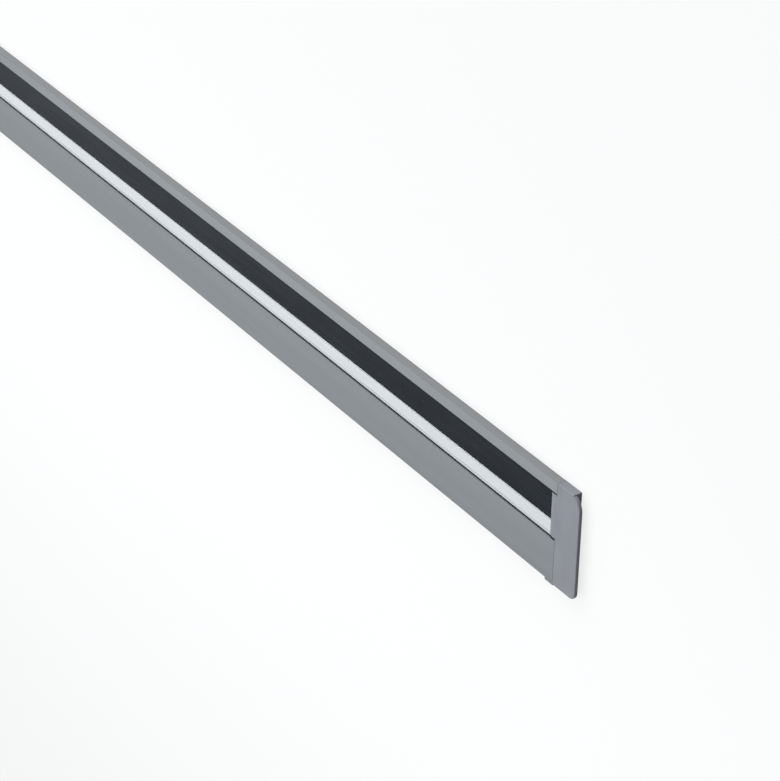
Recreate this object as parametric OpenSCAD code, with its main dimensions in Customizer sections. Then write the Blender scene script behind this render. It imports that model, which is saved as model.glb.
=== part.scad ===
// Slim aluminium extrusion, with a black strip and an opal cover in its opening and a cap at each end.
// The section is constant, and each cap plugs into its chambers.
// It lies on its back. X runs along it, Y goes from its foot to its lip, and Z comes out of its face.

/* [Extrusion] */
// Cut length of the extrusion
profile_l = 1000; // [300:50:3000]
// Height of the section, from foot to lip
profile_h = 80; // [72:1:110]
// Depth of the section, from back to face
profile_d = 7; // [6.4:0.1:9]
// Height of the lip over the opening
lip_h = 8.7; // [7:0.1:14]
// Height of the plain face under the opening
face_h = 34; // [28:0.1:40]
// Thickness of the back wall
back_t = 1.8; // [1.2:0.1:2.2]
// Thickness of the front, top and foot walls
wall_t = 1.3; // [1.1:0.1:1.6]
// Thickness of the webs inside the lower chambers
web_t = 1.2; // [0.8:0.1:2]
// Radius on the edges of the walls
edge_r = 0.3; // [0.2:0.05:0.5]
// Depth of the groove behind the top of the plain face
groove_h = 5; // [3:0.5:8]

/* [Light channel] */
// Inside width of the channel that takes the light tape
channel_w = 9; // [6:0.1:10.6]
// Thickness of the ribs beside the channel and behind the lip
rib_t = 0.7; // [0.6:0.1:1]
// Radius of the snap bead on each rib
bead_r = 0.25; // [0.15:0.05:0.3]

/* [Black strip] */
// Thickness of the black strip
strip_t = 2.2; // [1.5:0.1:2.5]
// Height of the black strip that is hidden behind the lip
strip_tuck = 5; // [4:0.5:5.5]
// Distance from the lip's edge to the rib that holds the strip
keeper_set = 3; // [1.5:0.5:3.5]

/* [Diffuser] */
// Thickness of the diffuser's face
cover_t = 1.4; // [1:0.1:1.8]
// Reach of the face past each rib
cover_over = 0.55; // [0.2:0.05:0.8]
// Gap between the diffuser and the top of the plain face
cover_gap = 0.5; // [0.3:0.1:2]
// Thickness of the diffuser's legs
leg_t = 0.8; // [0.6:0.1:1.2]
// Length of the diffuser's legs
leg_l = 1.5; // [1.1:0.1:1.7]
// Width of the step along the lower edge of the diffuser
step_w = 1.4; // [0.6:0.1:3]
// Depth of that step
step_d = 0.25; // [0.1:0.05:0.4]

/* [End caps] */
// Length of the cap's front plate
plate_l = 24.5; // [18:0.1:40]
// Thickness of the cap's front plate
plate_t = 2.5; // [1.8:0.1:2.8]
// Radius on the plate's front edges
plate_r = 0.7; // [0.2:0.1:1]
// Radius of the plate's outer corner at the lip
lip_corner_r = 11; // [2:0.1:16]
// Radius of the plate's outer corner at the foot
foot_corner_r = 5.8; // [2:0.1:16]
// Length of the cap's body behind the plate
body_l = 17.4; // [8:0.1:18]
// Thickness of the body's walls and ribs
shell_t = 1.8; // [1.2:0.1:2.4]
// Depth of the plate's edge below the foot of the extrusion
plate_drop = 1.2; // [1:0.1:2]
// Reach of the tongue into the opening
tongue_l = 6.6; // [6:0.1:10]
// Length of the tongue's curved nose
nose_l = 5; // [2:0.5:5.5]
// Drop of the nose at the tongue's free end
nose_d = 1.2; // [0.3:0.1:1.2]
// Gap over and under the tongue
tongue_gap = 1.8; // [0.3:0.1:2.5]
// Reach of the plugs into the lower chambers
plug_l = 12; // [6:1:25]
// Reach of the tab under the foot
tab_l = 8.4; // [3:0.1:12]
// Thickness of the tab
tab_t = 1.9; // [1.4:0.1:2.4]

/* [Fits] */
// Clearance between pieces that slide or snap together
fit = 0.1; // [0.05:0.05:0.15]
// Seam between a cap and the cut end of the extrusion
seam = 0.25; // [0.1:0.05:0.4]

/* [Hidden] */
$fn = 64;
over = 1;
pocket_n = 3;
open_y = profile_h - lip_h;
strip_z = back_t + strip_t;
rib_z = strip_z + fit;
bead_z = rib_z - 2 * bead_r;
groove_y = face_h - groove_h;
chamber_h = (groove_y - wall_t - 2 * web_t) / 2;
chamber_d = profile_d - back_t - wall_t;
cover_w = channel_w + 2 * rib_t + 2 * cover_over;
cover_y = face_h + cover_gap;
channel_y = cover_y + cover_over + rib_t;
cover_l = profile_l - 2 * (tongue_l + fit);
strip_y = channel_y + channel_w + rib_t + fit;
body_z = profile_d - plate_t;
tongue_z = rib_z + fit;
pocket_h = (profile_h - (pocket_n + 1) * shell_t) / pocket_n;
pocket_l = body_l - seam - 2 * shell_t;
foot_y = (max(tab_t, plate_drop) - profile_h) / 2;
nose_r = (nose_l * nose_l + nose_d * nose_d) / (2 * nose_d);
tongue_t = profile_d - tongue_z;
tongue_w = tongue_l + seam + shell_t;

// Runs a section, drawn foot to lip and back to face, along the length
module along(length) {
    translate([-length / 2, foot_y, 0])
        rotate([90, 0, 90])
            linear_extrude(height = length)
                children();
}

// A wall of the section with all its edges rounded
module wall(y, z, h, d) {
    translate([y + edge_r, z])
        square([h - 2 * edge_r, d]);
    translate([y, z + edge_r])
        square([h, d - 2 * edge_r]);
    for (cy = [y + edge_r, y + h - edge_r])
        for (cz = [z + edge_r, z + d - edge_r])
            translate([cy, cz])
                circle(r = edge_r);
}

// The outer walls and the webs of the lower chambers
module shell_section() {
    wall(0, 0, profile_h, back_t);
    wall(0, 0, wall_t, profile_d);
    wall(profile_h - wall_t, 0, wall_t, profile_d);
    wall(0, profile_d - wall_t, face_h, wall_t);
    wall(open_y, profile_d - wall_t, lip_h, wall_t);
    for (y = [wall_t + chamber_h, groove_y - web_t])
        translate([y, back_t / 2])
            square([web_t, profile_d - back_t / 2 - wall_t / 2]);
}

// The rib behind the lip that holds the top of the black strip
module keeper_section() {
    translate([open_y + keeper_set, rib_z])
        square([lip_h - keeper_set - wall_t / 2, rib_t]);
}

// The two ribs of the light channel, each with a snap bead inside
module channel_section() {
    for (y = [channel_y - rib_t, channel_y + channel_w])
        translate([y, back_t / 2])
            square([rib_t, rib_z - back_t / 2]);
    for (y = [channel_y, channel_y + channel_w])
        translate([y, bead_z])
            circle(r = bead_r);
}

module profile() {
    color("silver")
        along(profile_l) {
            shell_section();
            keeper_section();
            channel_section();
        }
}

module black_strip() {
    color("black")
        along(profile_l)
            translate([strip_y, back_t])
                square([open_y + strip_tuck - strip_y, strip_t]);
}

// The face of the diffuser with its lower edge stepped, and its two legs
module cover_section() {
    translate([cover_y, rib_z])
        square([cover_w, cover_t - step_d]);
    translate([cover_y + step_w, rib_z])
        square([cover_w - step_w, cover_t]);
    for (y = [channel_y + fit, channel_y + channel_w - fit - leg_t])
        translate([y, rib_z - leg_l])
            square([leg_t, leg_l + cover_t / 2]);
}

module diffuser() {
    color("white")
        along(cover_l)
            difference() {
                cover_section();
                for (y = [channel_y, channel_y + channel_w])
                    translate([y, bead_z])
                        circle(r = bead_r + fit);
            }
}

// The section of a plate of width w and thickness t, its far front edge rounded
module soft_edge(w, t, r) {
    square([w - r, t]);
    square([w, t - r]);
    translate([w - r, t - r])
        circle(r = r);
}

// A band of the cap's front plate that ends in the rounded edge at y, facing the way of dir
module plate_band(y, dir, band, length) {
    translate([seam, y - dir * band, body_z])
        mirror([0, dir < 0 ? 1 : 0, 0])
            rotate([90, 0, 90])
                linear_extrude(height = length - seam)
                    soft_edge(band, plate_t, plate_r);
}

// An outer corner of the plate, turned about its own centre
module plate_corner(y, dir, r) {
    translate([plate_l - r, y - dir * r, body_z])
        mirror([0, dir < 0 ? 1 : 0, 0])
            rotate_extrude(angle = 90)
                soft_edge(r, plate_t, plate_r);
}

// The front plate of a cap, with soft edges and rounded outer corners.
// At the lip it keeps its full height to the end of the body.
module cap_plate() {
    plate_band(profile_h, 1, lip_corner_r, max(body_l, plate_l - lip_corner_r));
    plate_band(-plate_drop, -1, foot_corner_r, plate_l - foot_corner_r);
    plate_corner(profile_h, 1, lip_corner_r);
    plate_corner(-plate_drop, -1, foot_corner_r);
    translate([seam, profile_h - lip_corner_r, body_z])
        rotate([90, 0, 0])
            linear_extrude(height = profile_h + plate_drop - lip_corner_r - foot_corner_r)
                soft_edge(plate_l - seam, plate_t, plate_r);
}

// The hollow body behind the plate, open at the back
module cap_body() {
    difference() {
        translate([seam, 0, 0])
            cube([body_l - seam, profile_h, body_z + plate_t / 2]);
        for (i = [0 : pocket_n - 1])
            translate([seam + shell_t, shell_t + i * (pocket_h + shell_t), -over])
                cube([pocket_l, pocket_h, body_z + over]);
    }
}

// The section of the tongue, its free end curved down into a nose
module tongue_section() {
    square([tongue_w - nose_l, tongue_t]);
    translate([tongue_w - nose_l, 0])
        intersection() {
            translate([-over, 0])
                square([nose_l + over, tongue_t]);
            translate([0, tongue_t - nose_r])
                circle(r = nose_r);
        }
}

// The tongue that fills the opening
module cap_tongue() {
    translate([seam + shell_t, face_h + tongue_gap, tongue_z])
        rotate([90, 0, 180])
            linear_extrude(height = open_y - face_h - 2 * tongue_gap)
                tongue_section();
}

// The plugs that go into the lower chambers
module cap_plugs() {
    for (y = [wall_t, wall_t + chamber_h + web_t])
        translate([-plug_l, y + fit, back_t])
            cube([plug_l + seam + shell_t / 2, chamber_h - 2 * fit, chamber_d - fit]);
}

// The tab that hooks under the foot, its front edge rounded, and its root in the plate
module cap_tab() {
    translate([-tab_l, -fit, body_z])
        mirror([0, 1, 0])
            rotate([90, 0, 90])
                linear_extrude(height = tab_l + seam)
                    soft_edge(tab_t - fit, plate_t, edge_r);
    translate([-shell_t, -plate_drop, body_z])
        cube([2 * shell_t + seam, plate_drop - fit, plate_t - plate_r]);
}

module end_cap() {
    translate([profile_l / 2, foot_y, 0]) {
        cap_plate();
        cap_body();
        cap_tongue();
        cap_plugs();
        cap_tab();
    }
}

module end_cap_right() {
    color("gray")
        end_cap();
}

module end_cap_left() {
    color("gray")
        mirror([1, 0, 0])
            end_cap();
}

profile();
black_strip();
diffuser();
end_cap_right();
end_cap_left();
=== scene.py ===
"""Looks of a slim aluminium extrusion with a black strip, an opal cover and moulded end caps.

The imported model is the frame. It lies on its back, and the camera looks down on it from its capped end.
Lengths are in metres. X runs along the model, Y goes from its foot to its lip, and Z comes out of its face.
"""

from math import pi, radians

import bpy
from mathutils import Color, Matrix, Vector


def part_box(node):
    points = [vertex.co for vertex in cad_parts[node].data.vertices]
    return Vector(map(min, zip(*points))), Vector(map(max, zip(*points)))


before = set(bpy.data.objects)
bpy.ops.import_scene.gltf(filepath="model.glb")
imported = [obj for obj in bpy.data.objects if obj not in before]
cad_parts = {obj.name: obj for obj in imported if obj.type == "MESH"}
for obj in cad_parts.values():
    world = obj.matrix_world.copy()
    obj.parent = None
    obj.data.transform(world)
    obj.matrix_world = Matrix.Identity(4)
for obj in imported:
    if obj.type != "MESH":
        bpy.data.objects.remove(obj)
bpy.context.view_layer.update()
scene = bpy.context.scene
scene.view_settings.view_transform = "Standard"

# Camera, from the edges' vanishing points in the photograph, whose longer side is IMAGE_PX
IMAGE_PX = 781
FOCAL_PX = 2689.5
CAMERA_AT = Vector((1.66289, 1.00807, 0.93409))
CAMERA_BACK = Vector((0.70693, 0.51796, 0.48163))
CAMERA_UP = Vector((-0.43818, 0.85526, -0.27663))
SENSOR_MM = 36
CLIP_START = 0.05
CLIP_END = 200

# Painted shade line along the cover, standing in for the shade in the corner of its step: its distance from
# the lower edge, and its reach to each side
STEP_SHADE_AT = 0.0023
STEP_SHADE_REACH = 0.0005

# Floor: half its side, its grey under the lamps, the white that is added, and reflections' share of that
FLOOR_HALF = 40.0
FLOOR_GREY = 0.22
FLOOR_WHITE = 0.792
MIRROR_SHARE = 0.94

# Light tent: its strength to the left and past the near end, and the glow over the lip
TENT_LEFT = 0.5
TENT_RIGHT = 0.1
TENT_GLOW = 0.45

# Tone of the backdrop that the camera sees, which is that of the far floor
BACKDROP = 0.905

WHITE = (1, 1, 1, 1)
TENT_TINT = (0.92, 0.97, 1, 1)
LAMP_TINT = (0.94, 0.98, 1)

# Places of the colour sockets on a Mix node
MIX_A = 6
MIX_B = 7
MIX_RESULT = 2


def linear(*rgb):
    """Turns 0 to 255 screen values into the linear colour that a shader takes."""
    color = Color([value / 255 for value in rgb])
    return (*color.from_srgb_to_scene_linear(), 1.0)


class Tree:
    """Short calls for building the node tree of a material or a world."""

    def __init__(self, owner):
        owner.use_nodes = True
        self.owner = owner
        self.nodes = owner.node_tree.nodes
        self.links = owner.node_tree.links
        self.nodes.clear()

    def add(self, kind, inputs=None, **settings):
        node = self.nodes.new(kind)
        for name, value in settings.items():
            setattr(node, name, value)
        for name, value in (inputs or {}).items():
            self.put(node.inputs[name], value)
        return node

    def put(self, socket, value):
        """Links a socket to another one, or sets its value."""
        if isinstance(value, bpy.types.NodeSocket):
            self.links.new(value, socket)
        else:
            socket.default_value = value

    def math(self, operation, a, b=0.0):
        node = self.add("ShaderNodeMath", operation=operation)
        self.put(node.inputs[0], a)
        self.put(node.inputs[1], b)
        return node.outputs[0]

    def plus(self, a, b, times=1.0):
        """The first value plus so many times the second."""
        return self.math("ADD", a, self.math("MULTIPLY", b, times))

    def weigh(self, a, b, share):
        """A mix of two values, in which the second has this share."""
        return self.plus(self.math("MULTIPLY", a, 1 - share), b, times=share)

    def ramp(self, factor, start=0.0, end=1.0, low=0.0, high=1.0):
        """Goes from low to high as the factor goes from start to end, and no further."""
        node = self.add(
            "ShaderNodeMapRange",
            {"Value": factor, "From Min": start, "From Max": end, "To Min": low, "To Max": high},
        )
        return node.outputs[0]

    def blend(self, factor, a, b):
        node = self.add("ShaderNodeMix", {"Factor": factor}, data_type="RGBA")
        self.put(node.inputs[MIX_A], a)
        self.put(node.inputs[MIX_B], b)
        return node.outputs[MIX_RESULT]

    def axis(self, space, name):
        """One coordinate, in the object's own space or of the direction that a world is seen in."""
        where = self.add("ShaderNodeTexCoord").outputs[space]
        return self.add("ShaderNodeSeparateXYZ", {"Vector": where}).outputs[name]

    def noise(self, along, across, detail, roughness=0.5):
        """Noise with so many cells to a metre along the part, and so many across it."""
        where = self.add("ShaderNodeTexCoord").outputs["Object"]
        spot = self.add("ShaderNodeMapping", {"Vector": where, "Scale": (along, across, across)})
        noise = self.add(
            "ShaderNodeTexNoise",
            {"Vector": spot.outputs[0], "Scale": 1.0, "Detail": detail, "Roughness": roughness},
        )
        return noise.outputs[0]

    def bump(self, height, strength, depth):
        node = self.add("ShaderNodeBump", {"Height": height, "Strength": strength, "Distance": depth})
        return node.outputs[0]

    def output(self, shader, kind="ShaderNodeOutputMaterial"):
        """Links the last shader to the output, and gives back what the tree belongs to."""
        self.links.new(shader.outputs[0], self.add(kind).inputs["Surface"])
        return self.owner

    def principled(self, inputs):
        return self.output(self.add("ShaderNodeBsdfPrincipled", inputs))


def satin_aluminium():
    """Metal with drawing lines and wider bands along it, and a fine grain."""
    t = Tree(bpy.data.materials.new("satin_aluminium"))
    lines = t.noise(along=3, across=1400, detail=4)
    bands = t.noise(along=1.5, across=90, detail=2)
    grain = t.noise(along=2600, across=2600, detail=2)
    shade = t.ramp(t.weigh(lines, bands, share=0.55), start=0.3, end=0.7)
    return t.principled(
        {
            "Base Color": t.blend(shade, linear(145, 148, 150), linear(153, 156, 158)),
            "Metallic": 1.0,
            "Roughness": t.ramp(shade, low=0.29, high=0.37),
            "Normal": t.bump(t.plus(lines, grain, times=0.6), strength=0.10, depth=0.00012),
        }
    )


def black_plastic():
    """Smooth plastic with faint streaks along it, smears and a few specks of dust."""
    t = Tree(bpy.data.materials.new("black_plastic"))
    streaks = t.noise(along=6, across=500, detail=3)
    smears = t.noise(along=14, across=60, detail=4)
    dust = t.noise(along=520, across=900, detail=1)
    specks = t.ramp(dust, start=0.76, end=0.80)
    film = t.ramp(t.math("MULTIPLY", streaks, smears), start=0.2, end=0.42)
    clean = t.blend(film, linear(20, 26, 33), linear(28, 35, 43))
    return t.principled(
        {
            "Base Color": t.blend(t.ramp(specks, high=0.35), clean, linear(150, 154, 158)),
            "Roughness": t.plus(t.ramp(film, low=0.16, high=0.26), specks, times=0.3),
            "Specular IOR Level": 0.11,
            "Normal": t.bump(streaks, strength=0.04, depth=0.0001),
        }
    )


def opal_plastic():
    """Milky plastic with soft flow marks, and a fine grey line of painted shade near the cover's lower
    edge.
    """
    t = Tree(bpy.data.materials.new("opal_plastic"))
    flow = t.noise(along=4, across=240, detail=3)
    cloud = t.noise(along=30, across=120, detail=4)
    shade = t.ramp(t.plus(flow, cloud), start=0.7, end=1.3)
    clean = t.blend(shade, linear(229, 229, 230), linear(235, 235, 236))
    # Painted shade: a thin grey line along the corner of the cover's step, made uneven by the cloud noise
    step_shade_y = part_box("diffuser")[0].y + STEP_SHADE_AT
    apart = t.math("ABSOLUTE", t.math("SUBTRACT", t.axis("Object", "Y"), step_shade_y))
    near = t.ramp(apart, end=STEP_SHADE_REACH, low=1.0, high=0.0)
    painted_step_shade = t.math("MULTIPLY", near, t.ramp(cloud, start=0.35, end=0.6, low=0.3, high=0.8))
    return t.principled(
        {
            "Base Color": t.blend(painted_step_shade, clean, linear(128, 131, 136)),
            "Roughness": t.ramp(shade, low=0.42, high=0.5),
            "Subsurface Weight": 0.15,
            "Subsurface Radius": (0.002, 0.002, 0.0018),
            "Subsurface Scale": 1.0,
            "Normal": t.bump(flow, strength=0.05, depth=0.0001),
        }
    )


def grey_plastic():
    """Moulded plastic with a fine grain and slight clouds of tone."""
    t = Tree(bpy.data.materials.new("grey_plastic"))
    grain = t.noise(along=2200, across=2200, detail=3, roughness=0.6)
    cloud = t.noise(along=60, across=60, detail=4)
    shade = t.ramp(t.weigh(grain, cloud, share=0.6), start=0.35, end=0.65)
    return t.principled(
        {
            "Base Color": t.blend(shade, linear(146, 147, 152), linear(154, 155, 160)),
            "Roughness": t.ramp(grain, start=0.3, end=0.7, low=0.46, high=0.6),
            "Specular IOR Level": 0.25,
            "Normal": t.bump(grain, strength=0.22, depth=0.00015),
        }
    )


def dress(mat, *names):
    """Gives one material to the named nodes."""
    for name in names:
        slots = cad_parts[name].data.materials
        slots.clear()
        slots.append(mat)


dress(satin_aluminium(), "profile")
dress(black_plastic(), "black_strip")
dress(opal_plastic(), "diffuser")
dress(grey_plastic(), "end_cap_right", "end_cap_left")


def make_floor():
    """A plain pale floor that reads white to the camera and in reflections, and keeps the shadow."""
    mesh = bpy.data.meshes.new("floor")
    signs = [(-1, -1), (1, -1), (1, 1), (-1, 1)]
    corners = [(x * FLOOR_HALF, y * FLOOR_HALF, 0) for x, y in signs]
    mesh.from_pydata(corners, [], [(0, 1, 2, 3)])
    obj = bpy.data.objects.new("floor", mesh)
    scene.collection.objects.link(obj)
    t = Tree(bpy.data.materials.new("floor"))
    ray = t.add("ShaderNodeLightPath").outputs
    mirrored = t.math("MAXIMUM", ray["Is Glossy Ray"], ray["Is Transmission Ray"])
    seen = t.math("MAXIMUM", ray["Is Camera Ray"], t.math("MULTIPLY", mirrored, MIRROR_SHARE))
    grey = t.add("ShaderNodeBsdfDiffuse", {"Color": (FLOOR_GREY, FLOOR_GREY, FLOOR_GREY, 1)})
    strength = t.math("MULTIPLY", seen, FLOOR_WHITE)
    white = t.add("ShaderNodeEmission", {"Color": WHITE, "Strength": strength})
    both = t.add("ShaderNodeAddShader")
    t.links.new(grey.outputs[0], both.inputs[0])
    t.links.new(white.outputs[0], both.inputs[1])
    mesh.materials.append(t.output(both))


def make_world():
    """A light tent, brighter to the left of the object than past its near end, with a glow over its lip.

    The camera sees a plain white backdrop instead.
    """
    t = Tree(bpy.data.worlds.new("studio"))
    along = t.axis("Generated", "X")
    across = t.axis("Generated", "Y")
    side = t.ramp(along, start=-0.2, end=0.8, low=TENT_LEFT, high=TENT_RIGHT)
    glow = t.ramp(across, start=0.15, end=0.75, high=TENT_GLOW)
    fade = t.ramp(along, start=-0.1, end=0.8, low=1.0, high=0.1)
    tent = t.plus(side, glow, times=fade)
    seen = t.add("ShaderNodeLightPath").outputs["Is Camera Ray"]
    hidden = t.math("SUBTRACT", 1.0, seen)
    strength = t.plus(t.math("MULTIPLY", tent, hidden), seen, times=BACKDROP)
    color = t.blend(seen, TENT_TINT, WHITE)
    light = t.add("ShaderNodeBackground", {"Color": color, "Strength": strength})
    scene.world = t.output(light, "ShaderNodeOutputWorld")


def softbox(name, at, aim, width, height, radiance, spread=180):
    """A large area lamp at a place, facing a point, with the spread of its light in degrees.

    Its radiance is that of its face at the full spread. A narrower spread is brighter ahead of the lamp.
    """
    lamp = bpy.data.lights.new(name, "AREA")
    lamp.shape = "RECTANGLE"
    lamp.size = width
    lamp.size_y = height
    lamp.energy = radiance * pi * width * height
    lamp.spread = radians(spread)
    lamp.color = LAMP_TINT
    obj = bpy.data.objects.new(name, lamp)
    obj.location = at
    way = Vector(at) - Vector(aim)
    obj.rotation_euler = way.to_track_quat("Z", "Y").to_euler()
    scene.collection.objects.link(obj)
    return obj


def make_lamps():
    """A key lamp from the lip's side, which reflections don't show, and a strip lamp over the foot."""
    key = softbox(
        "key", at=(-0.6, 2.1, 0.72), aim=(0, 0, 0), width=3.0, height=1.2, radiance=1.14, spread=85
    )
    key.visible_glossy = False
    softbox("back", at=(-0.12, -0.24, 0.55), aim=(-0.12, 0, 0), width=2.25, height=0.42, radiance=1.1)


def make_camera():
    """A camera at the photograph's viewing angle."""
    data = bpy.data.cameras.new("camera")
    data.sensor_width = SENSOR_MM
    data.lens = FOCAL_PX * SENSOR_MM / IMAGE_PX
    data.clip_start = CLIP_START
    data.clip_end = CLIP_END
    obj = bpy.data.objects.new("camera", data)
    back = CAMERA_BACK.normalized()
    right = CAMERA_UP.cross(back).normalized()
    up = back.cross(right)
    turn = Matrix((right, up, back)).transposed().to_4x4()
    obj.matrix_world = Matrix.Translation(CAMERA_AT) @ turn
    scene.collection.objects.link(obj)
    scene.camera = obj


make_floor()
make_world()
make_lamps()
make_camera()
